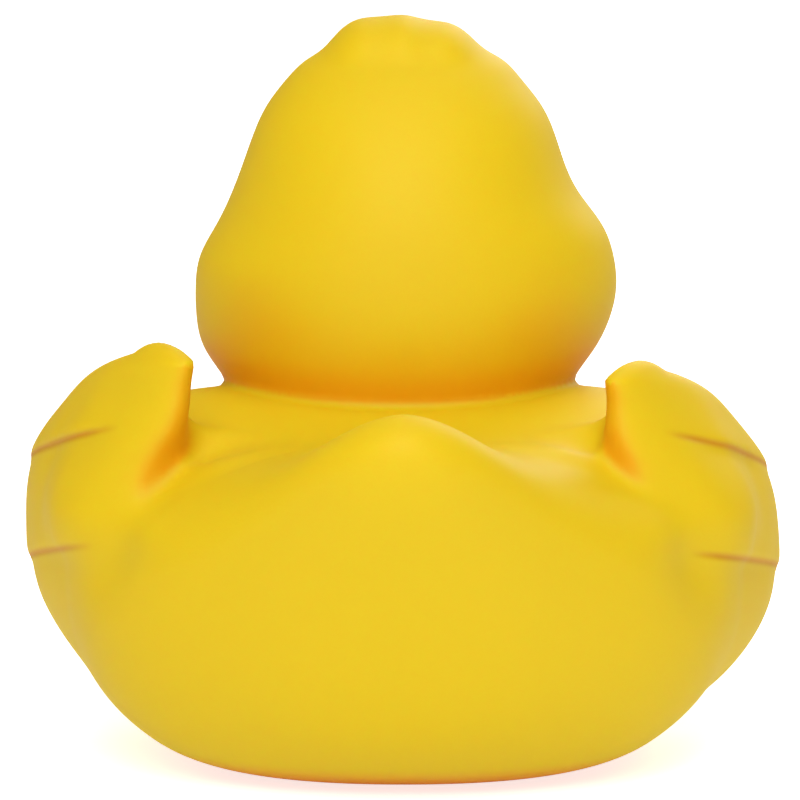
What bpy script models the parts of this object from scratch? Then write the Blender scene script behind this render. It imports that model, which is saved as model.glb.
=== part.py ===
"""Rubber bath duck: a hollow, soft vinyl body cast in one piece, and a squeaker pressed into its base.

Metres, +Z up. The bill points along -Y, the tail along +Y, and the flat base rests on z = 0.
Every rounded mass (hull with tail, head, wings, tuft, bill) starts as Blender's UV sphere. Its poles lie
along the mass, and each ring is stretched to the width and height that the mass has at that station.
Remesh joins the masses into one skin, Smooth turns the creases between them into fillets, and Booleans
cut the flat base, the hollow and the squeaker's hole.
"""

import bmesh
import bpy
import numpy as np

MM = 0.001
WALL = 2.5                # thickness of the vinyl, mm
HOLE_RADIUS = 5.0         # hole in the base for the squeaker
HOLE_Y = -6.0
GAP = 0.3                 # clearance between touching pieces
FINE_CELL = 0.85          # Remesh cell of the outer skin
COARSE_CELL = 1.5         # Remesh cell of the hollow
SKIN_SHARE = 0.095        # share of the skin's triangles that Decimate keeps
HOLLOW_SHARE = 0.15

for old in list(bpy.data.objects):
    bpy.data.objects.remove(old, do_unlink=True)


def smooth_curve(stations, values):
    """The natural cubic spline through (station, value), as a function of whole arrays."""
    x, y = np.array(stations, float), np.array(values, float)
    h, count = np.diff(x), len(x)
    system, bend = np.eye(count), np.zeros(count)
    i = np.arange(1, count - 1)
    system[i, i - 1], system[i, i], system[i, i + 1] = h[:-1], 2 * (h[:-1] + h[1:]), h[1:]
    bend[i] = 6 * (np.diff(y)[1:] / h[1:] - np.diff(y)[:-1] / h[:-1])
    m = np.linalg.solve(system, bend)

    def at(t):
        t = np.clip(t, x[0], x[-1])
        k = np.clip(np.searchsorted(x, t) - 1, 0, count - 2)
        since, left, span = t - x[k], x[k + 1] - t, h[k]
        return ((m[k] * left**3 + m[k + 1] * since**3) / (6 * span)
                + (y[k] / span - m[k] * span / 6) * left
                + (y[k + 1] / span - m[k + 1] * span / 6) * since)

    return at


def ring_radius(station, middle, half_length):
    """Radius of a unit ball's ring at this station, kept off zero at the poles."""
    return np.sqrt(np.clip(1 - ((station - middle) / half_length) ** 2, 0.04, None))


def sphere_parts(rings, segments):
    """A UV sphere's mesh, with the pole coordinate s, ring radius r and ring direction (c, d) of its vertices."""
    bm = bmesh.new()
    bmesh.ops.create_uvsphere(bm, u_segments=segments, v_segments=rings, radius=1.0)
    q = np.array([v.co[:] for v in bm.verts])
    s = np.clip(q[:, 2], -1, 1)
    r = np.hypot(q[:, 0], q[:, 1])
    c, d = q[:, 0] / np.maximum(r, 1e-9), q[:, 1] / np.maximum(r, 1e-9)
    return bm, s, r, c, d


def squared(value, power):
    """A ring's coordinate for a rounder or squarer section: power 2 is an ellipse, more is squarer."""
    return np.sign(value) * np.abs(value) ** (2 / power)


def fade(t, low, high):
    """0 below low, 1 above high, and a smooth 3t^2 - 2t^3 between them."""
    t = np.clip((t - low) / (high - low), 0, 1)
    return t * t * (3 - 2 * t)


def placed(bm, x, y, z):
    """Moves the sphere's vertices to the given millimetre coordinates."""
    for vert, place in zip(bm.verts, np.stack([x, y, z], axis=1) * MM):
        vert.co = place
    bmesh.ops.recalc_face_normals(bm, faces=bm.faces)
    return bm


# Hull and tail: stations along Y, each with half-width, height of the widest line, top and bottom lines.
HULL_MIDDLE, HULL_HALF = 4.5, 42.5
HULL_Y = np.array((-38, -34, -28, -18, -8, 4, 14, 24, 32, 38, 43, 47), float)
HULL_WIDE = np.array((7, 15.5, 24, 31, 34.6, 35.6, 34.6, 31.2, 24.0, 16.0, 9.3, 4.0))
HULL_WAIST = np.array((19, 18.7, 18.3, 17.8, 17.5, 17.5, 18, 20.2, 24.2, 29.2, 34.7, 38.2))
HULL_TOP = np.array((22, 26, 31, 36.5, 38.6, 38.0, 36.8, 36.9, 38.7, 41, 42.3, 41.2))
HULL_KEEL = np.array((14, 6, 1, -2.5, -3, -3, -2.6, -0.6, 4.5, 12.8, 26, 34.5))
HULL_SQUARE = (2.2, 2.2, 2.4, 3.4, 4.8, 4.8, 3.0, 2.2, 1.8, 1.7, 1.7, 1.8)
KEEL_SQUARE = 2.25

# A soft trough behind each wing, cut into the hull along a line given as positions round the wings' drum.
WING_DRUM_Y = -8.0        # axis of the drum
WING_ROUND = 38.0         # length along the drum for one radian
VALLEY_Z, VALLEY_U = (18, 22, 26, 30, 33, 37), (29, 30, 30.6, 31, 32.5, 35)
VALLEY_DEEP, VALLEY_WIDE = 2.0, 4.5


def in_trough(x, y, z):
    """The same points moved towards the drum's axis by the depth of the trough."""
    radius = np.hypot(x, y - WING_DRUM_Y)
    u = WING_ROUND * np.arctan2(y - WING_DRUM_Y, np.maximum(np.abs(x), 1e-6))
    across = np.exp(-((u - smooth_curve(VALLEY_Z, VALLEY_U)(z)) / VALLEY_WIDE) ** 2)
    keep = 1 - VALLEY_DEEP * across * fade(z, 17, 28) * fade(radius, 27, 35) / np.maximum(radius, 1)
    return x * keep, WING_DRUM_Y + (y - WING_DRUM_Y) * keep, z


def hull(inset=0.0):
    bm, s, r, c, d = sphere_parts(48, 64)
    y = HULL_MIDDLE + (HULL_HALF - inset) * s
    unit = ring_radius(HULL_Y, HULL_MIDDLE, HULL_HALF)
    wide = smooth_curve(HULL_Y, HULL_WIDE / unit)(y) - inset
    waist = smooth_curve(HULL_Y, HULL_WAIST)(y)
    rise = smooth_curve(HULL_Y, (HULL_TOP - HULL_WAIST) / unit)(y) - inset
    drop = smooth_curve(HULL_Y, (HULL_WAIST - HULL_KEEL) / unit)(y) - inset
    power = np.where(d > 0, smooth_curve(HULL_Y, HULL_SQUARE)(y), KEEL_SQUARE)
    height = np.where(d > 0, rise, drop)
    return placed(bm, *in_trough(wide * r * squared(c, power), y, waist + height * r * squared(d, power)))


# Head and neck: stations along Z. The cheek on the -X side is a little fuller than the other.
HEAD_MIDDLE, HEAD_HALF = 51.2, 25.0
HEAD_Z = np.array((26, 36.5, 41.9, 45.3, 48.6, 51.9, 55.3, 58.6, 65.3, 68.6, 71.9, 73.6, 76.2), float)
CHEEK_PLUS = np.array((10, 18.9, 21.8, 22.7, 22.8, 22.3, 20.5, 18.9, 16.4, 14.8, 12.2, 10.2, 4.7))
CHEEK_MINUS = np.array((10, 18.1, 20.9, 22.6, 23.3, 23.0, 21.7, 19.3, 16.5, 14.9, 12.3, 10.4, 4.7))
HEAD_DEEP = ((26, 36.5, 45, 52, 60, 70, 76.2), (22, 22, 22, 21.5, 21.5, 21, 20))
HEAD_AXIS = ((26, 36.5, 50, 60, 76.2), (-13, -13, -14, -14.5, -14))
HEAD_SQUARE = 2.1


def head(inset=0.0):
    bm, s, r, c, d = sphere_parts(48, 64)
    z = HEAD_MIDDLE + (HEAD_HALF - inset) * s
    unit = ring_radius(HEAD_Z, HEAD_MIDDLE, HEAD_HALF)
    plus, minus = (smooth_curve(HEAD_Z, cheek / unit)(z) for cheek in (CHEEK_PLUS, CHEEK_MINUS))
    wide = np.where(c > 0, plus, minus) - inset
    deep = smooth_curve(*HEAD_DEEP)(z) - inset
    across, along = squared(c, HEAD_SQUARE), squared(d, HEAD_SQUARE)
    return placed(bm, wide * r * across, smooth_curve(*HEAD_AXIS)(z) + deep * r * along, z)


# Wings: thick leaves that lie on a drum round the hull and lift off it at the rear. Their outline is given
# by stations along Z, as the positions of the front and the rear edge along the drum.
WING_MIDDLE, WING_HALF = 27.2, 18.9
WING_SQUARE = 2.4
WING_Z = np.array((9.5, 12, 15, 20, 25, 29.5, 34, 37.5, 40.5, 43, 44.8))
WING_REAR = np.array((12, 16, 20, 25, 27.8, 28.9, 31.2, 33.8, 34.9, 35.2, 35.6))
WING_FRONT = np.array((-7, -11.5, -16, -19, -18, -13, -4, 3.5, 10.0, 17.5, 25.5))
WING_THICK = ((8, 12, 16, 24, 33, 42, 48), (6, 5.4, 5.1, 4.6, 4.6, 4.6, 5))
WING_DRUM = ((8, 12, 16, 24, 32, 37, 42, 48), (32, 34.2, 35.6, 36.6, 36.0, 34.6, 33.6, 33.2))
FRONT_HUG = 0.012         # pulls the drum in over the wing's front, so that it lies on the hull, per mm
REAR_LIFT, LIFT_START = 0.0045, 6.0
MINUS_DROP, MINUS_IN, FEATHER_DROP = 1.9, 0.9, 1.1   # the -X wing sits a little lower and further in
FEATHER_EDGES = ((30.3, 0.265), (19.5, 0.215))       # lower edge of each feather: start and slope
STEP_HIGH, STEP_WIDE, STEP_LONG = 0.8, 0.8, 3.0


def feather_relief(u, z):
    """How far the feathers stand out: highest just above each edge line, lowest just below it."""
    relief = 0
    for start, slope in FEATHER_EDGES:
        off = z - start - slope * u
        step = np.tanh(off / STEP_WIDE) * np.exp(-np.abs(off) / STEP_LONG)
        relief = relief + STEP_HIGH * step * (0.35 + 0.65 * fade(u, 8, 15)) * fade(u, -16, -8) * (1 - fade(u, 20, 28))
    return relief


def wing(minus_side):
    bm, s, r, c, d = sphere_parts(64, 64)
    z = WING_MIDDLE + WING_HALF * s
    unit = ring_radius(WING_Z, WING_MIDDLE, WING_HALF)
    middle = smooth_curve(WING_Z, (WING_REAR + WING_FRONT) / 2)(z)
    wide = smooth_curve(WING_Z, (WING_REAR - WING_FRONT) / 2 / unit)(z)
    u = middle + wide * r * squared(d, WING_SQUARE)
    drum = smooth_curve(*WING_DRUM)(z) - FRONT_HUG * np.minimum(u, 0) ** 2
    drum = drum + REAR_LIFT * np.clip(u - LIFT_START, 0, 33) ** 2
    edge_z = z - MINUS_DROP + FEATHER_DROP if minus_side else z
    out = smooth_curve(*WING_THICK)(z) * r * squared(c, WING_SQUARE) + (c > 0) * feather_relief(u, edge_z)
    x, y = (drum + out) * np.cos(u / WING_ROUND), WING_DRUM_Y + (drum + out) * np.sin(u / WING_ROUND)
    if minus_side:
        z = z - MINUS_DROP
        x = MINUS_IN * fade(z, 15, 35) - x
    return placed(bm, x, y, z)


def egg(centre, radii):
    bm, s, r, c, d = sphere_parts(24, 32)
    return placed(bm, centre[0] + radii[0] * r * c, centre[1] + radii[1] * r * d, centre[2] + radii[2] * s)


def tuft():
    """Three short locks of down on the crown."""
    locks = (((3.7, -13.5, 74.2), (4.0, 6.8, 3.8)), ((0.1, -13, 74.3), (3.6, 7, 4.0)),
             ((-3.8, -13.5, 74.0), (3.7, 6.8, 3.5)))
    return [egg(centre, radii) for centre, radii in locks]


def bill():
    """Upper and lower bill, closed."""
    return [egg((0, -37.5, 50.2), (10.5, 9.7, 3.4)), egg((0, -35.5, 47.0), (8.6, 8.6, 2.6))]


def joined(name, pieces):
    """One object that holds several closed meshes."""
    whole = bmesh.new()
    for piece in pieces:
        mesh = bpy.data.meshes.new("piece")
        piece.to_mesh(mesh)
        piece.free()
        whole.from_mesh(mesh)
        bpy.data.meshes.remove(mesh)
    mesh = bpy.data.meshes.new(name)
    whole.to_mesh(mesh)
    whole.free()
    obj = bpy.data.objects.new(name, mesh)
    bpy.context.scene.collection.objects.link(obj)
    return obj


def as_helper(obj):
    obj.hide_render = True
    obj.display_type = "WIRE"
    return obj


def one_skin(obj, cell, rounds, share):
    """Modifiers that fuse the object's masses and round the creases between them."""
    remesh = obj.modifiers.new("fuse", "REMESH")
    remesh.mode, remesh.voxel_size = "VOXEL", cell * MM
    smooth = obj.modifiers.new("fillet", "SMOOTH")
    smooth.factor, smooth.iterations = 0.5, rounds
    thin = obj.modifiers.new("thin_out", "DECIMATE")
    thin.ratio = share


def cut(obj, cutter):
    boolean = obj.modifiers.new("cut_" + cutter.name, "BOOLEAN")
    boolean.operation, boolean.object, boolean.solver = "DIFFERENCE", cutter, "EXACT"


def block(name, centre, size):
    bm = bmesh.new()
    bmesh.ops.create_cube(bm, size=1.0)
    bmesh.ops.scale(bm, vec=np.array(size) * MM, verts=bm.verts)
    bmesh.ops.translate(bm, vec=np.array(centre) * MM, verts=bm.verts)
    return joined(name, [bm])


def rod(name, radius, low, high):
    """An upright cylinder on the squeaker's axis."""
    bm = bmesh.new()
    bmesh.ops.create_cone(bm, cap_ends=True, segments=64, radius1=radius * MM, radius2=radius * MM,
                          depth=(high - low) * MM)
    bmesh.ops.translate(bm, vec=(0, HOLE_Y * MM, (low + high) / 2 * MM), verts=bm.verts)
    return joined(name, [bm])


def finish(name, colour, roughness, transmission=0.0):
    material = bpy.data.materials.new(name)
    material.use_nodes = True
    shader = material.node_tree.nodes["Principled BSDF"]
    shader.inputs["Base Color"].default_value = (*colour, 1)
    shader.inputs["Roughness"].default_value = roughness
    shader.inputs["Metallic"].default_value = 0.0
    shader.inputs["Transmission Weight"].default_value = transmission
    return material


def make_body():
    """The cast skin: fused, cut flat underneath, hollow, with the squeaker's hole."""
    wings = [wing(minus_side=False), wing(minus_side=True)]
    body = joined("duck_body", [hull(), head(), *wings, *tuft(), *bill()])
    one_skin(body, FINE_CELL, 9, SKIN_SHARE)
    cut(body, as_helper(block("below_base", (0, 0, -20), (200, 200, 40))))
    hollow = as_helper(joined("hollow", [hull(WALL), head(WALL)]))
    one_skin(hollow, COARSE_CELL, 3, HOLLOW_SHARE)
    cut(hollow, as_helper(block("below_floor", (0, 0, WALL - 20), (200, 200, 40))))
    cut(body, hollow)
    cut(body, as_helper(rod("squeaker_hole", HOLE_RADIUS, -4, WALL + 4)))
    body.data.materials.append(finish("soft_vinyl_yellow", (0.82, 0.56, 0.03), 0.45))
    for face in body.data.polygons:
        face.use_smooth = True
    return body


# Squeaker: a turned plug. Its waist sits in the hole, its flange inside the wall, and a whistle bore runs up it.
PLUG_LOW = 0.5            # the plug stays above the surface that the duck stands on
PLUG_RADIUS = HOLE_RADIUS - GAP
FLANGE_RADIUS = 6.4
FLANGE_HIGH = 1.2
BARREL_RADIUS = 3.9
BARREL_TOP = 9.0
BORE_RADIUS = 1.1


def make_squeaker():
    floor = WALL + GAP
    outline = ((BORE_RADIUS, PLUG_LOW), (PLUG_RADIUS, PLUG_LOW), (PLUG_RADIUS, floor), (FLANGE_RADIUS, floor),
               (FLANGE_RADIUS, floor + FLANGE_HIGH), (BARREL_RADIUS, floor + FLANGE_HIGH),
               (BARREL_RADIUS, BARREL_TOP), (BORE_RADIUS, BARREL_TOP))
    bm = bmesh.new()
    corners = [bm.verts.new((radius * MM, 0, z * MM)) for radius, z in outline]
    edges = [bm.edges.new((a, b)) for a, b in zip(corners, corners[1:] + corners[:1])]
    bmesh.ops.spin(bm, geom=corners + edges, cent=(0, 0, 0), axis=(0, 0, 1), angle=2 * np.pi, steps=48,
                   use_merge=True)
    bmesh.ops.remove_doubles(bm, verts=bm.verts, dist=1e-6)
    bmesh.ops.recalc_face_normals(bm, faces=bm.faces)
    squeaker = joined("squeaker", [bm])
    squeaker.location = (0, HOLE_Y * MM, 0)
    squeaker.data.materials.append(finish("white_polythene", (0.85, 0.85, 0.82), 0.35))
    return squeaker


make_body()
make_squeaker()
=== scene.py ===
# %% [markdown]
# # A rubber bath duck
# A real bath duck is one hollow skin of soft PVC, cast in a closed mould that turns while the liquid
# plastic sets on its walls. Everything on it is one surface: hull, tail, head, wings and bill flow into
# each other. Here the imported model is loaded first, as a fixed frame, and the skin is then made finely.

import bpy
import numpy as np
from mathutils import Matrix, Vector


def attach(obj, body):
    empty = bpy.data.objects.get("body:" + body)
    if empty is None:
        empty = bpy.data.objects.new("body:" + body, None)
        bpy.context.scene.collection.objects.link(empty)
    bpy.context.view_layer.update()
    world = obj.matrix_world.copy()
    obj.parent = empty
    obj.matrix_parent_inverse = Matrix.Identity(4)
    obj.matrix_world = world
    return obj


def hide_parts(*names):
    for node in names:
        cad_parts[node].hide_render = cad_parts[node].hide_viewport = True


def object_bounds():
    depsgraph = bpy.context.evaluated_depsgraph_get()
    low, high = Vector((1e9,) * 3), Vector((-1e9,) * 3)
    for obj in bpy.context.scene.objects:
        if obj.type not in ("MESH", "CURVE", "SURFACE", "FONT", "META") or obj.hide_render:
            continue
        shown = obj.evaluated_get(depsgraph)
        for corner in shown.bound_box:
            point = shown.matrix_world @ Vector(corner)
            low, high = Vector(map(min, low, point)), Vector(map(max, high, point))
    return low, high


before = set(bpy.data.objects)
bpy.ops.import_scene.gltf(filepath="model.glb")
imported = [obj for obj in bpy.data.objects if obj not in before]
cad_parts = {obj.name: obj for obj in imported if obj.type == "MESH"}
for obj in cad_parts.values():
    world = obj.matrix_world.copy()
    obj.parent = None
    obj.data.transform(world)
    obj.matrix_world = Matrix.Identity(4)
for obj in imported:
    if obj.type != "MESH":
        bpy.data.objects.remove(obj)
cad_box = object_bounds()
print("frame box in mm:", [[round(1000 * c, 1) for c in corner] for corner in cad_box])
MM = 0.001

# %% [markdown]
# ## How one soft skin is made from round masses
# A sculptor would press clay balls together and wipe the joints smooth. The same can be done with
# numbers. Each mass gets a distance: how far a point lies outside it, in millimetres, and less than zero
# inside. The smaller of two distances is the joint of two masses, and a smoothed minimum wipes a fillet
# of chosen size into the joint. Station curves give each mass its width and height along its length.
# Subdivided boxes or sculpted meshes would also work, but then no fillet has a number to tune.


# %% Station curves, distances and fillets
def smooth_curve(stations, values):
    """The natural cubic spline through (station, value): on each span, the cubic whose second derivative
    runs in a straight line from one knot's to the next one's."""
    x, y = np.array(stations, float), np.array(values, float)
    h, count = np.diff(x), len(x)
    system, bend = np.eye(count), np.zeros(count)
    i = np.arange(1, count - 1)
    system[i, i - 1], system[i, i], system[i, i + 1] = h[:-1], 2 * (h[:-1] + h[1:]), h[1:]
    bend[i] = 6 * (np.diff(y)[1:] / h[1:] - np.diff(y)[:-1] / h[:-1])
    m = np.linalg.solve(system, bend)

    def at(t):
        t = np.clip(t, x[0], x[-1])
        k = np.clip(np.searchsorted(x, t) - 1, 0, count - 2)
        since, left, span = t - x[k], x[k + 1] - t, h[k]
        return ((m[k] * left**3 + m[k + 1] * since**3) / (6 * span)
                + (y[k] / span - m[k] * span / 6) * left
                + (y[k + 1] / span - m[k + 1] * span / 6) * since)

    return at


def ball_distance(side, up, along, wide, high, half, power):
    """Distance to a stretched ball. Its section is |side/wide|^power + |up/high|^power = 1, and its length
    follows a circle of radius half. k is 1 on the surface, and (k - 1) / |slope of k| is the distance."""
    a, b, s = np.abs(side) / wide + 1e-6, np.abs(up) / high + 1e-6, along / half
    n = (a**power + b**power) ** (1 / power)
    k = np.sqrt(n * n + s * s)
    section = (a ** (power - 1) / wide) ** 2 + (b ** (power - 1) / high) ** 2
    slope = np.sqrt((n / k * n ** (1 - power)) ** 2 * section + (s / k / half) ** 2)
    return (k - 1) / slope


def fused(a, b, fillet):
    """The smaller of two distances, with a rounded joint: min(a, b) - h^2 * fillet / 4. Here h falls from 1,
    where the two are equal, to 0, where they differ by the fillet."""
    h = np.clip(fillet - np.abs(a - b), 0, None) / fillet
    return np.minimum(a, b) - h * h * fillet / 4


LEAST_RING = 0.04


def ring_radius(station, middle, half):
    """Radius of a unit ball's ring at this station, kept off zero at the poles."""
    return np.sqrt(np.clip(1 - ((station - middle) / half) ** 2, LEAST_RING, None))


def fade(t, low, high):
    """0 below low, 1 above high, and a smooth 3t^2 - 2t^3 between them."""
    t = np.clip((t - low) / (high - low), 0, 1)
    return t * t * (3 - 2 * t)


print("a fillet of 2 mm lowers two equal distances by", -fused(np.zeros(1), np.zeros(1), 2.0)[0], "mm")

# %% [markdown]
# ## Hull and tail
# The hull is a fat boat, squarer on top, where the back makes a broad shelf round the neck, and rounder
# below. Towards the rear its widest line climbs and its keel rises, so that it runs up into the tail.

# %% Hull and tail
HULL_MIDDLE, HULL_HALF = 4.5, 42.5
HULL_Y = np.array((-38, -34, -28, -18, -8, 4, 14, 24, 32, 38, 43, 47), float)
HULL_WIDE = np.array((7, 15.5, 24, 31, 34.6, 35.6, 34.6, 31.2, 24.0, 16.0, 9.3, 4.0))
HULL_WAIST = np.array((19, 18.7, 18.3, 17.8, 17.5, 17.5, 18, 20.2, 24.2, 29.2, 34.7, 38.2))
HULL_TOP = np.array((22, 26, 31, 36.5, 38.6, 38.0, 36.8, 36.9, 38.7, 41, 42.3, 41.2))
HULL_KEEL = np.array((14, 6, 1, -2.5, -3.0, -3.0, -2.6, -0.6, 4.5, 12.8, 26, 34.5))
HULL_SQUARE = (2.2, 2.2, 2.4, 3.4, 4.8, 4.8, 3.0, 2.2, 1.8, 1.7, 1.7, 1.8)
KEEL_SQUARE = 2.25
hull_unit = ring_radius(HULL_Y, HULL_MIDDLE, HULL_HALF)
hull_wide = smooth_curve(HULL_Y, HULL_WIDE / hull_unit)
hull_waist = smooth_curve(HULL_Y, HULL_WAIST)
hull_rise = smooth_curve(HULL_Y, (HULL_TOP - HULL_WAIST) / hull_unit)
hull_drop = smooth_curve(HULL_Y, (HULL_WAIST - HULL_KEEL) / hull_unit)
hull_square = smooth_curve(HULL_Y, HULL_SQUARE)


def hull(x, y, z):
    """A stretched ball along Y, with one height above its widest line and another below it."""
    above = z > hull_waist(y)
    high = np.where(above, hull_rise(y), hull_drop(y))
    power = np.where(above, hull_square(y), KEEL_SQUARE)
    return ball_distance(x, z - hull_waist(y), y - HULL_MIDDLE, hull_wide(y), high, HULL_HALF, power)


print("hull half-width at its middle:", hull_wide(HULL_MIDDLE).round(1), "mm")

# %% [markdown]
# ## Head and neck
# The head is a pear: full cheeks just above a short neck, and a tall, narrower crown. One cheek of this
# casting is a little fuller and higher than the other, so each side has its own station curve.

# %% Head and neck
HEAD_MIDDLE, HEAD_HALF = 51.2, 25.0
HEAD_Z = np.array((26, 36.5, 41.9, 45.3, 48.6, 51.9, 55.3, 58.6, 65.3, 68.6, 71.9, 73.6, 76.2), float)
CHEEK_PLUS = np.array((10, 18.9, 21.8, 22.7, 22.8, 22.3, 20.5, 18.9, 16.4, 14.8, 12.2, 10.2, 4.7))
CHEEK_MINUS = np.array((10, 18.1, 20.9, 22.6, 23.3, 23.0, 21.7, 19.3, 16.5, 14.9, 12.3, 10.4, 4.7))
HEAD_SQUARE = 2.1
head_unit = ring_radius(HEAD_Z, HEAD_MIDDLE, HEAD_HALF)
cheek_plus = smooth_curve(HEAD_Z, CHEEK_PLUS / head_unit)
cheek_minus = smooth_curve(HEAD_Z, CHEEK_MINUS / head_unit)
head_deep = smooth_curve((26, 36.5, 45, 52, 60, 70, 76.2), (22, 22, 22, 21.5, 21.5, 21, 20))
head_axis = smooth_curve((26, 36.5, 50, 60, 76.2), (-13, -13, -14, -14.5, -14))


def head(x, y, z):
    """A stretched ball along Z, with one width on each side."""
    wide = np.where(x > 0, cheek_plus(z), cheek_minus(z))
    return ball_distance(x, y - head_axis(z), z - HEAD_MIDDLE, wide, head_deep(z), HEAD_HALF, HEAD_SQUARE)


print("head half-widths at the cheeks:", CHEEK_PLUS.max(), "and", CHEEK_MINUS.max(), "mm")

# %% [markdown]
# ## Wings
# Each wing is a thick leaf that lies on a drum round the hull and lifts off it at the rear, where a valley
# separates it from the back. Two shallow grooves part it into three feathers, and each feather's lower
# edge stands a little proud of the next one, as shingles do.

# %% Wings
# A wing's place is given as u, millimetres round the drum from its widest point, and z. The wing on the
# minus side sits MINUS_DROP lower and, up high, MINUS_IN further in.
WING_DRUM_Y = -8.0
WING_ROUND = 38.0
WING_MIDDLE, WING_HALF = 27.3, 19.05
WING_SQUARE = 2.4
FRONT_HUG, REAR_LIFT, LIFT_START, LIFT_LONG = 0.012, 0.0045, 6.0, 33.0
SINK, SINK_LOW, SINK_FRONT, HUG_FILLET = 1.8, 2.6, 8.0, 3.0
SINK_Z, SINK_U = (20, 32), (10, 22)
MINUS_DROP, MINUS_IN, FEATHER_DROP = 1.9, 0.9, 1.1
WING_Z = np.array((9.5, 12, 15, 20, 25, 29.5, 34, 37.5, 40.5, 43, 44.8))
WING_REAR = np.array((12, 16, 20, 25, 27.8, 28.9, 31.2, 33.8, 34.9, 35.2, 35.6))
WING_FRONT = np.array((-7, -11.5, -16, -19, -18, -13, -4, 3.5, 10.0, 17.5, 24.6))
wing_unit = ring_radius(WING_Z, WING_MIDDLE, WING_HALF)
wing_middle = smooth_curve(WING_Z, (WING_REAR + WING_FRONT) / 2)
wing_wide = smooth_curve(WING_Z, (WING_REAR - WING_FRONT) / 2 / wing_unit)
wing_thick = smooth_curve((8, 12, 16, 24, 33, 42, 48), (6, 5.4, 5.1, 4.6, 4.6, 4.6, 5))
wing_drum = smooth_curve((8, 12, 16, 24, 32, 37, 42, 48), (32, 34.2, 35.6, 36.6, 36.0, 34.6, 33.6, 33.2))
FEATHER_EDGES = ((30.3, 0.265), (19.5, 0.215))
STEP_HIGH, STEP_WIDE, STEP_LONG = 0.8, 0.8, 3.0
STEP_FRONT, STEP_STARTS, STEP_GROWS, STEP_ENDS = 0.35, (-16, -8), (8, 15), (20, 28)
OUTER_FACE = (0, 3)
OTHER_SIDE, FAR = -2.0, 50.0
valley_line = smooth_curve((18, 22, 26, 30, 33, 37), (29, 30, 30.6, 31, 32.5, 35))
VALLEY_DEEP, VALLEY_WIDE = 2.0, 4.5
VALLEY_Z, VALLEY_OUT = (17, 28), (27, 35)


def feather_relief(u, z):
    """How far the feathers stand out. Across each edge line z = start + slope * u there is a step: highest
    just above the line, lowest just below it, and gone a few millimetres away."""
    relief = 0
    grown = STEP_FRONT + (1 - STEP_FRONT) * fade(u, *STEP_GROWS)
    for start, slope in FEATHER_EDGES:
        off = z - start - slope * u
        step = np.tanh(off / STEP_WIDE) * np.exp(-np.abs(off) / STEP_LONG)
        relief = relief + STEP_HIGH * step * grown * fade(u, *STEP_STARTS) * (1 - fade(u, *STEP_ENDS))
    return relief


def wing(x, y, z, feather_z, over_hull):
    """A stretched ball along Z in the unrolled drum: u runs round the drum, and off is the distance to it.
    Near its rear edge the wing lies on the hull instead, and sinks into it further down."""
    u = WING_ROUND * np.arctan2(y - WING_DRUM_Y, np.maximum(x, 1e-6))
    lifted = np.clip(u - LIFT_START, 0, LIFT_LONG)
    drum = wing_drum(z) - FRONT_HUG * np.minimum(u, 0) ** 2 + REAR_LIFT * lifted ** 2
    sink = SINK + SINK_LOW * (1 - fade(z, *SINK_Z)) + SINK_FRONT * (1 - fade(u, *SINK_U))
    off = fused(np.hypot(x, y - WING_DRUM_Y) - drum, over_hull + sink, HUG_FILLET)
    distance = ball_distance(off, u - wing_middle(z), z - WING_MIDDLE, wing_thick(z), wing_wide(z),
                             WING_HALF, WING_SQUARE)
    distance = distance - feather_relief(u, feather_z) * fade(off, *OUTER_FACE)
    return np.where(x > OTHER_SIDE, distance, FAR)


def valley(x, y, z):
    """How deep the trough behind each wing cuts into the hull: depth * exp(-(d / wide)^2), where d is the
    way round the drum to the trough's line. It fades out low down and near the middle plane."""
    z = z + MINUS_DROP * (x < 0)
    u = WING_ROUND * np.arctan2(y - WING_DRUM_Y, np.maximum(np.abs(x), 1e-6))
    bell = VALLEY_DEEP * np.exp(-((u - valley_line(z)) / VALLEY_WIDE) ** 2)
    return bell * fade(z, *VALLEY_Z) * fade(np.hypot(x, y - WING_DRUM_Y), *VALLEY_OUT)


print("each wing is", WING_REAR.max() - WING_FRONT.min(), "mm round the hull and has",
      len(FEATHER_EDGES) + 1, "feathers")

# %% [markdown]
# ## Tuft and bill
# Three locks of down sit on the crown, and a short flat bill is in front. Both are eggs, fused with small
# fillets so that a crease stays between them: between the two bills it is the mouth.


# %% Tuft and bill
def egg(x, y, z, centre, radii):
    """Distance to an ellipsoid: k is the length of (point - centre) / radii, and (k - 1) / slope of k."""
    q = [(a - c) / r for a, c, r in zip((x, y, z), centre, radii)]
    k = np.sqrt(q[0] ** 2 + q[1] ** 2 + q[2] ** 2) + 1e-6
    slope = np.sqrt(sum((a / r) ** 2 for a, r in zip(q, radii))) / k
    return (k - 1) / np.maximum(slope, 1e-3)


LOCKS = (((3.7, -13.5, 74.2), (4.0, 6.8, 3.8)), ((0.1, -13, 74.3), (3.6, 7, 4.0)),
         ((-3.8, -13.5, 74.0), (3.7, 6.8, 3.5)))
UPPER_BILL = ((0, -37.5, 50.2), (10.5, 9.7, 3.4))
LOWER_BILL = ((0, -35.5, 47.0), (8.6, 8.6, 2.6))
LOCK_FILLET, MOUTH_FILLET, BILL_FILLET, TUFT_FILLET = 1.8, 0.5, 1.5, 2.4


def crowned_head(x, y, z):
    """Distance to the head with its tuft and bill."""
    first, second, third = (egg(x, y, z, centre, radii) for centre, radii in LOCKS)
    tuft = fused(fused(first, second, LOCK_FILLET), third, LOCK_FILLET)
    bill = fused(egg(x, y, z, *UPPER_BILL), egg(x, y, z, *LOWER_BILL), MOUTH_FILLET)
    return fused(fused(head(x, y, z), tuft, TUFT_FILLET), bill, BILL_FILLET)


print("tuft top:", max(c[2] + r[2] for c, r in LOCKS), "mm")

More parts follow.
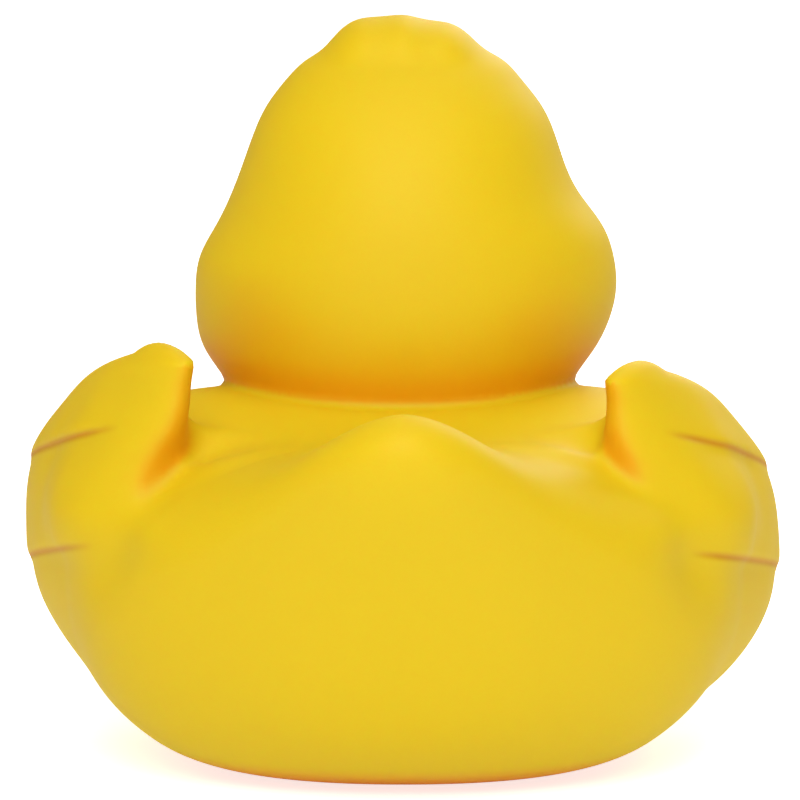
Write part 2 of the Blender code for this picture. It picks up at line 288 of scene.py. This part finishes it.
# %% [markdown]
# ## The whole skin
# The flat base is cut with a rounded edge: a smoothed maximum is a smoothed minimum turned round. The
# squeaker's hole and the room that it needs inside the wall are cut in the same way.

# %% The whole skin
NECK_FILLET, WING_FILLET, REAR_FILLET, BASE_EDGE, HOLE_EDGE = 1.3, 3.5, 6.5, 3.6, 0.5
REAR_Y, REAR_Z, MINUS_LEAN = (4, 14), (21, 29), (15, 35)
HOLE_Y, HOLE_RADIUS, WALL, OVERLAP = -6.0, 5.0, 2.5, 0.5
ROOM_RADIUS, ROOM_TOP, BELOW_BASE = 7.5, 12.0, -5.0


def can(x, y, z, radius, low, high):
    """Distance to an upright cylinder on the squeaker's axis."""
    return np.maximum(np.hypot(x, y - HOLE_Y) - radius, np.maximum(low - z, z - high))


def duck(x, y, z):
    """Distance to the whole skin, with a wider fillet where the rear of a wing meets the back."""
    body = hull(x, y, z) + valley(x, y, z)
    plus = wing(x, y, z, z, body)
    minus = wing(-x + MINUS_IN * fade(z, *MINUS_LEAN), y, z + MINUS_DROP, z + FEATHER_DROP, body)
    rear = fade(y, *REAR_Y) * fade(z, *REAR_Z)
    skin = fused(body, np.minimum(plus, minus), WING_FILLET + REAR_FILLET * rear)
    skin = fused(skin, crowned_head(x, y, z), NECK_FILLET)
    skin = -fused(-skin, z + 0 * skin, BASE_EDGE)
    hole = can(x, y, z, HOLE_RADIUS, BELOW_BASE, WALL + OVERLAP)
    room = can(x, y, z, ROOM_RADIUS, WALL, ROOM_TOP)
    return -fused(-skin, np.minimum(hole, room), HOLE_EDGE)


origin = np.zeros(1)
print("the middle of the base is", duck(origin + 12, origin, origin)[0].round(2), "mm from the skin")

# %% [markdown]
# ## From distances to a mesh
# A lattice of points asks the distance everywhere. Each cell that the skin crosses gets one vertex, and
# each lattice edge that it crosses gets a face between its four cells. The vertices then slide onto the
# skin along the slope of the distance, with a little evening out between the slides.

# %% From distances to a mesh
CELL = 0.62
ROUNDS = 4
low, high = (1000 * np.array(corner) for corner in cad_box)
axes = [np.arange(a - 2, b + 2 + CELL, CELL) for a, b in zip(low, high)]
inside = duck(axes[0][:, None, None], axes[1][None, :, None], axes[2][None, None, :]) < 0
wide, long, tall = (count - 1 for count in inside.shape)
filled = sum(inside[i:i + wide, j:j + long, k:k + tall].astype(int)
             for i in (0, 1) for j in (0, 1) for k in (0, 1))
crossed = (filled > 0) & (filled < 8)
number = np.full(crossed.shape, -1)
number[crossed] = np.arange(crossed.sum())
points = np.stack([axis[i] for axis, i in zip(axes, np.nonzero(crossed))], axis=1) + CELL / 2


def faces_across(axis):
    """One quad for each lattice edge along this axis with one end inside and one outside."""
    starts = np.take(inside, range(inside.shape[axis] - 1), axis)
    ends = np.take(inside, range(1, inside.shape[axis]), axis)
    place = np.stack(np.nonzero(starts != ends), axis=1)
    unit = np.eye(3, dtype=int)
    one, two = unit[(axis + 1) % 3], unit[(axis + 2) % 3]
    around = (place - one - two, place - two, place, place - one)
    quads = np.stack([number[tuple(cells.T)] for cells in around], axis=1)
    leaving = starts[tuple(place.T)]
    quads[~leaving] = quads[~leaving][:, ::-1]
    return quads


quads = np.concatenate([faces_across(axis) for axis in range(3)])


def distance_at(p):
    return duck(p[:, 0], p[:, 1], p[:, 2])


def slope_at(p, step=0.02):
    """Slope of the distance, from the difference over a small step each way along each axis."""
    steps = step * np.eye(3)
    return np.stack([(distance_at(p + d) - distance_at(p - d)) / (2 * step) for d in steps], axis=1)


def settled(p):
    """Each point moved by -distance * slope / |slope|^2, by at most one cell."""
    slope = slope_at(p)
    move = distance_at(p)[:, None] * slope / np.maximum((slope * slope).sum(1), 1e-6)[:, None]
    long = np.linalg.norm(move, axis=1, keepdims=True)
    return p - move * np.minimum(1, CELL / np.maximum(long, 1e-9))


def evened(p):
    """Each point moved half way to the mean of its neighbours."""
    ends = np.concatenate([quads, np.roll(quads, -1, axis=1)]).reshape(2, -1)
    both = np.concatenate([ends, ends[::-1]], axis=1)
    count = np.bincount(both[0], minlength=len(p))
    total = np.stack([np.bincount(both[0], p[both[1], a], len(p)) for a in range(3)], axis=1)
    return (p + total / count[:, None]) / 2


for _ in range(ROUNDS):
    points = settled(evened(points))
points = settled(points)
print(len(points), "vertices,", len(quads), "faces, furthest from the skin:",
      np.abs(distance_at(points)).max().round(3), "mm")

# %% [markdown]
# ## Where the vinyl sees less light, painted in as shade
# Soft vinyl is a little see-through, so light that bounces between two near walls comes out a deeper
# orange. Here that is painted shade: the colour is painted a deeper orange where a point sits deep. How
# deep a point sits is measured once: a few millimetres out along the normal, the distance to the skin is
# as long as the step over open ground, and shorter in a crease. What faces up still gets light from
# above, so it counts less. The result is kept as an attribute, the amount of painted crease shade.

# %% How deep each point sits
slope = slope_at(points)
normal = slope / np.linalg.norm(slope, axis=1, keepdims=True)
CREASE_STEPS, LIT_FROM_ABOVE = (4.0, 10.0, 20.0), 0.85
open_shares = [np.clip(distance_at(points + step * normal) / step, 0, 1) for step in CREASE_STEPS]
painted_crease_shade = np.mean([1 - share for share in open_shares], axis=0)
painted_crease_shade *= 1 - LIT_FROM_ABOVE * np.clip(normal[:, 2], 0, 1)
print("crease runs from", painted_crease_shade.min().round(2), "to", painted_crease_shade.max().round(2))

mesh = bpy.data.meshes.new("duck_skin")
mesh.from_pydata(points * MM, [], quads.tolist())
mesh.attributes.new("painted_crease_shade", "FLOAT", "POINT").data.foreach_set("value", painted_crease_shade.astype(np.float32))
mesh.shade_smooth()
skin = bpy.data.objects.new("duck_skin", mesh)
bpy.context.scene.collection.objects.link(skin)

# %% [markdown]
# ## Soft yellow vinyl
# Cast plasticised PVC with yellow pigment. It is matt with a faint bloom, since the mould was blasted, and
# light enters it for a millimetre or two, so the shadows stay warm. A fine grain breaks up the gloss.


# %% Material helpers
def linear(hex_colour):
    """sRGB hex to linear colour."""
    parts = np.array([int(hex_colour[i:i + 2], 16) for i in (1, 3, 5)]) / 255
    return (*np.where(parts <= 0.04045, parts / 12.92, ((parts + 0.055) / 1.055) ** 2.4), 1.0)


def add(tree, kind, links=None, **settings):
    """A node with its settings: attributes by name, and sockets by name or number in links."""
    node = tree.nodes.new(kind)
    for name, value in settings.items():
        setattr(node, name, value)
    for socket, value in (links or {}).items():
        if isinstance(value, bpy.types.NodeSocket):
            tree.links.new(value, node.inputs[socket])
        else:
            node.inputs[socket].default_value = value
    return node


def new_material(name):
    """An empty material of this name, with its node tree and its shader."""
    material = bpy.data.materials.new(name)
    material.use_nodes = True
    return material, material.node_tree, material.node_tree.nodes["Principled BSDF"]


# %% Soft yellow vinyl, with painted crease shade and painted bill and eyes
vinyl, tree, shader = new_material("soft_cast_pvc_yellow")
VINYL, VINYL_SHADE_AND_GRAIN = linear("#dfc913"), linear("#e6a60b")
BILL_PAINT, EYE_BLACK, EYE_WHITE = linear("#e8641a"), linear("#101012"), linear("#f4f2ea")
place = add(tree, "ShaderNodeTexCoord").outputs["Object"]
# Painted shade: the colour runs from the vinyl's yellow to a deeper orange as the crease attribute rises.
deep = add(tree, "ShaderNodeAttribute", attribute_name="painted_crease_shade").outputs["Fac"]
SHALLOW, DEEPEST = 0.1, 1.1
depth = add(tree, "ShaderNodeMapRange", {0: deep, 1: SHALLOW, 2: DEEPEST},
            interpolation_type="SMOOTHSTEP").outputs[0]
colour = add(tree, "ShaderNodeMix", {0: depth, 6: VINYL, 7: VINYL_SHADE_AND_GRAIN}, data_type="RGBA").outputs[2]


def inside_egg(centre, radii):
    """1 where the skin passes through this ellipsoid and 0 outside it, with an edge about 0.1 mm soft."""
    middle, size = tuple(MM * c for c in centre), tuple(MM * r for r in radii)
    off = add(tree, "ShaderNodeVectorMath", {0: place, 1: middle}, operation="SUBTRACT")
    unit = add(tree, "ShaderNodeVectorMath", {0: off.outputs[0], 1: size}, operation="DIVIDE")
    length = add(tree, "ShaderNodeVectorMath", {0: unit.outputs[0]}, operation="LENGTH").outputs["Value"]
    return add(tree, "ShaderNodeMapRange", {0: length, 1: 1.01, 2: 0.99}).outputs[0]


def painted(over, mask, paint):
    """One colour over another, by a mask from 0 to 1."""
    return add(tree, "ShaderNodeMix", {0: mask, 6: over, 7: paint}, data_type="RGBA").outputs[2]


BILL_MARGIN = 0.5
for centre, radii in (UPPER_BILL, LOWER_BILL):
    colour = painted(colour, inside_egg(centre, [r + BILL_MARGIN for r in radii]), BILL_PAINT)
EYE_SIDE, EYE_Y, EYE_Z = 8.6, -32.4, 58.6
EYE_RADII, PUPIL_RADII, GLINT_RADII = (3.2, 5, 4.2), (2.4, 5, 3.3), (0.7, 5, 0.8)
PUPIL_SHIFT, GLINT_SIDE, GLINT_UP = 0.3, 0.8, 1.2
for side in (-1, 1):
    x = side * EYE_SIDE
    for spot, radii, paint in (
            ((x, EYE_Y, EYE_Z), EYE_RADII, EYE_WHITE),
            ((x - side * PUPIL_SHIFT, EYE_Y, EYE_Z - PUPIL_SHIFT), PUPIL_RADII, EYE_BLACK),
            ((x - GLINT_SIDE, EYE_Y, EYE_Z + GLINT_UP), GLINT_RADII, EYE_WHITE)):
        colour = painted(colour, inside_egg(spot, radii), paint)

# %% [markdown]
# ## Feather lines, painted shade at the base, and grain
# On the real duck shadow draws the feather edges as thin lines. Here colour and bump draw them, because
# they are thinner than the mesh. They are the edges of the relief again, written in nodes: u = round *
# atan2(y - drum_y, |x|), and near = exp(-(off / width)^2) where off = z - start - slope * u. Near the floor
# the skin is painted a deeper orange, painted shade as in a crease. The grain tints the colour a little and
# carries the bump.

# %% Feather lines
LINE_MM, LINE_ENDS, LINE_MIX = 0.38, (30.8, 33.4), 0.7
LINE_FROM, LINE_BEHIND, MINUS_SHORT = (-14, -6), (32, 29), 3.0
FADE_BEFORE, FADE_AFTER = 1.0, 2.5
LINE_BROWN, FLOOR_SHADE_ORANGE = linear("#c47c0a"), linear("#e8780c")
axes_of = add(tree, "ShaderNodeSeparateXYZ", {0: place}).outputs
from_drum = add(tree, "ShaderNodeMath", {0: axes_of[1], 1: WING_DRUM_Y * MM}, operation="SUBTRACT").outputs[0]
sideways = add(tree, "ShaderNodeMath", {0: axes_of[0]}, operation="ABSOLUTE").outputs[0]
run = add(tree, "ShaderNodeMath", {0: from_drum, 1: sideways}, operation="ARCTAN2").outputs[0]
minus = add(tree, "ShaderNodeMath", {0: axes_of[0], 1: 0.0}, operation="LESS_THAN").outputs[0]
up_mm, sideways_mm = (add(tree, "ShaderNodeMath", {0: metres, 1: 1 / MM}, operation="MULTIPLY").outputs[0]
                      for metres in (axes_of[2], sideways))
height, reach = (add(tree, "ShaderNodeMath", {0: minus, 1: more, 2: mm}, operation="MULTIPLY_ADD").outputs[0]
                 for more, mm in ((FEATHER_DROP, up_mm), (MINUS_SHORT, sideways_mm)))
lines = 0.0
for (start, slope_of), end in zip(FEATHER_EDGES, LINE_ENDS):
    above = add(tree, "ShaderNodeMath", {0: height, 1: start}, operation="SUBTRACT").outputs[0]
    near = add(tree, "ShaderNodeMath", {0: run, 1: -slope_of * WING_ROUND, 2: above},
               operation="MULTIPLY_ADD").outputs[0]
    for operation, number in (("DIVIDE", LINE_MM), ("POWER", 2.0), ("MULTIPLY", -1.0), ("EXPONENT", 0.0)):
        near = add(tree, "ShaderNodeMath", {0: near, 1: number}, operation=operation).outputs[0]
    ends = {0: reach, 1: end - FADE_BEFORE, 2: end + FADE_AFTER}
    line_end = add(tree, "ShaderNodeMapRange", ends).outputs[0]
    lines = add(tree, "ShaderNodeMath", {0: near, 1: line_end, 2: lines}, operation="MULTIPLY_ADD").outputs[0]
for low_u, high_u in (LINE_FROM, LINE_BEHIND):
    span = {0: run, 1: low_u / WING_ROUND, 2: high_u / WING_ROUND}
    share = add(tree, "ShaderNodeMapRange", span).outputs[0]
    lines = add(tree, "ShaderNodeMath", {0: lines, 1: share}, operation="MULTIPLY").outputs[0]
drawn = add(tree, "ShaderNodeMath", {0: lines, 1: LINE_MIX}, operation="MULTIPLY").outputs[0]
colour = painted(colour, drawn, LINE_BROWN)
print("feather lines on each side:", len(FEATHER_EDGES))

# %% Painted shade at the base, grain and the vinyl's shader
# Painted shade near the floor: the lowest few millimetres of skin turn a deeper orange.
RIM_MM, RIM_FULL = 3.8, 0.2
floor_shade_band = add(tree, "ShaderNodeMapRange", {0: axes_of[2], 1: RIM_MM * MM, 2: RIM_FULL * MM},
          interpolation_type="SMOOTHSTEP")
colour = painted(colour, floor_shade_band.outputs[0], FLOOR_SHADE_ORANGE)

GRAIN_MM, GRAIN_TINT, GRAIN_BUMP = 0.35, 0.16, 0.06
grain = add(tree, "ShaderNodeTexNoise", {"Vector": place, "Scale": 1 / (GRAIN_MM * MM), "Detail": 3.0})
tint = add(tree, "ShaderNodeMath", {0: grain.outputs[0], 1: GRAIN_TINT}, operation="MULTIPLY").outputs[0]
colour = painted(colour, tint, VINYL_SHADE_AND_GRAIN)
sunk = add(tree, "ShaderNodeMath", {0: lines, 1: -1.0}, operation="MULTIPLY").outputs[0]
relief = add(tree, "ShaderNodeMath", {0: grain.outputs[0], 1: GRAIN_BUMP, 2: sunk}, operation="MULTIPLY_ADD")
bump = add(tree, "ShaderNodeBump", {"Height": relief.outputs[0], "Strength": 0.6, "Distance": 0.25 * MM})
tree.links.new(colour, shader.inputs["Base Color"])
tree.links.new(bump.outputs[0], shader.inputs["Normal"])
shader.inputs["Roughness"].default_value = 0.6
shader.inputs["IOR"].default_value = 1.53
shader.inputs["Specular IOR Level"].default_value = 0.24
shader.inputs["Subsurface Weight"].default_value = 0.4
shader.inputs["Subsurface Radius"].default_value = (1.0, 0.45, 0.1)
shader.inputs["Subsurface Scale"].default_value = 3.0 * MM
mesh.materials.append(vinyl)
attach(skin, "root")
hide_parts("duck_body")
print("vinyl ready:", len(tree.nodes), "nodes")

# %% [markdown]
# ## Squeaker
# A plug of natural polythene, moulded, pressed into the hole in the base. Only its lower face shows.

# %% Squeaker
polythene, tree, shader = new_material("natural_polythene_moulded")
place = add(tree, "ShaderNodeTexCoord").outputs["Object"]
FLOW_MM = 2.0
cloud = add(tree, "ShaderNodeTexNoise", {"Vector": place, "Scale": 1 / (FLOW_MM * MM), "Detail": 2.0})
tint = add(tree, "ShaderNodeMix", {0: cloud.outputs[0], 6: linear("#e9e7df"), 7: linear("#f3f2ec")},
           data_type="RGBA")
tree.links.new(tint.outputs[2], shader.inputs["Base Color"])
shader.inputs["Roughness"].default_value = 0.4
shader.inputs["IOR"].default_value = 1.51
shader.inputs["Subsurface Weight"].default_value = 0.3
shader.inputs["Subsurface Radius"].default_value = (1.0, 0.9, 0.8)
shader.inputs["Subsurface Scale"].default_value = 1.5 * MM
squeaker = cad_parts["squeaker"]
squeaker.data.materials.clear()
squeaker.data.materials.append(polythene)

# %% [markdown]
# ## Floor, light and camera
# White paper and large soft lights, as for a small product. The camera itself sees paper and room as plain
# white, while the light that they give the duck is weaker, and the room's has a warm tint. The camera is a
# long lens straight behind the duck and a little above it.

# %% Floor, light and camera
FLOOR_HALF = 3.0
floor_mesh = bpy.data.meshes.new("floor")
corners = [(a * FLOOR_HALF, b * FLOOR_HALF, 0) for a, b in ((-1, -1), (1, -1), (1, 1), (-1, 1))]
floor_mesh.from_pydata(corners, [], [(0, 1, 2, 3)])
floor = bpy.data.objects.new("floor", floor_mesh)
bpy.context.scene.collection.objects.link(floor)
paper, tree, shader = new_material("white_background_paper")
shader.inputs["Base Color"].default_value = linear("#eef2f8")
shader.inputs["Roughness"].default_value = 0.9
shader.inputs["Emission Color"].default_value = (1, 1, 1, 1)
SEEN_GLOW, PAPER_GLOW = 0.55, 0.17
to_eye = add(tree, "ShaderNodeLightPath").outputs["Is Camera Ray"]
glow = add(tree, "ShaderNodeMath", {0: to_eye, 1: SEEN_GLOW, 2: PAPER_GLOW}, operation="MULTIPLY_ADD")
tree.links.new(glow.outputs[0], shader.inputs["Emission Strength"])
floor_mesh.materials.append(paper)

world = bpy.data.worlds.new("white_room")
bpy.context.scene.world = world
world.use_nodes = True
ROOM_LIGHT, ROOM_TINT = 0.43, (1.0, 0.68, 0.44, 1.0)
tree = world.node_tree
shader = tree.nodes["Background"]
shader.inputs["Color"].default_value = ROOM_TINT
shader.inputs["Strength"].default_value = ROOM_LIGHT
seen = add(tree, "ShaderNodeBackground", {"Color": (1, 1, 1, 1), "Strength": 1.0})
to_eye = add(tree, "ShaderNodeLightPath").outputs["Is Camera Ray"]
both = add(tree, "ShaderNodeMixShader", {0: to_eye})
tree.links.new(shader.outputs[0], both.inputs[1])
tree.links.new(seen.outputs[0], both.inputs[2])
tree.links.new(both.outputs[0], tree.nodes["World Output"].inputs[0])


def soft_light(name, spot, aim, size, watts):
    """A square area light at spot that faces aim."""
    lamp = bpy.data.lights.new(name, "AREA")
    lamp.shape, lamp.size, lamp.energy = "SQUARE", size, watts
    holder = bpy.data.objects.new(name, lamp)
    turn = (Vector(aim) - Vector(spot)).to_track_quat("-Z", "Y")
    holder.matrix_world = Matrix.Translation(spot) @ turn.to_matrix().to_4x4()
    bpy.context.scene.collection.objects.link(holder)


MIDDLE = (0, 0, 0.04)
soft_light("key_light", (0.03, 0.62, 0.5), MIDDLE, 0.4, 3.4)
soft_light("top_light", (0, 0.1, 0.7), MIDDLE, 0.5, 1.1)
soft_light("far_fill", (-0.3, -0.8, 0.5), MIDDLE, 0.6, 3.6)

ELEVATION, DISTANCE, LENS = np.radians(8), 0.65, 272.0
AIM = Vector((0.0004, 0.0003, 0.0379))
camera_data = bpy.data.cameras.new("camera")
camera_data.lens, camera_data.sensor_width, camera_data.clip_start = LENS, 36.0, 0.01
camera = bpy.data.objects.new("camera", camera_data)
back = Vector((0, np.cos(ELEVATION), np.sin(ELEVATION)))
turn = back.to_track_quat("Z", "Y")
camera.matrix_world = Matrix.Translation(AIM + DISTANCE * back) @ turn.to_matrix().to_4x4()
bpy.context.scene.collection.objects.link(camera)
bpy.context.scene.camera = camera
bpy.context.scene.view_settings.view_transform = "Standard"
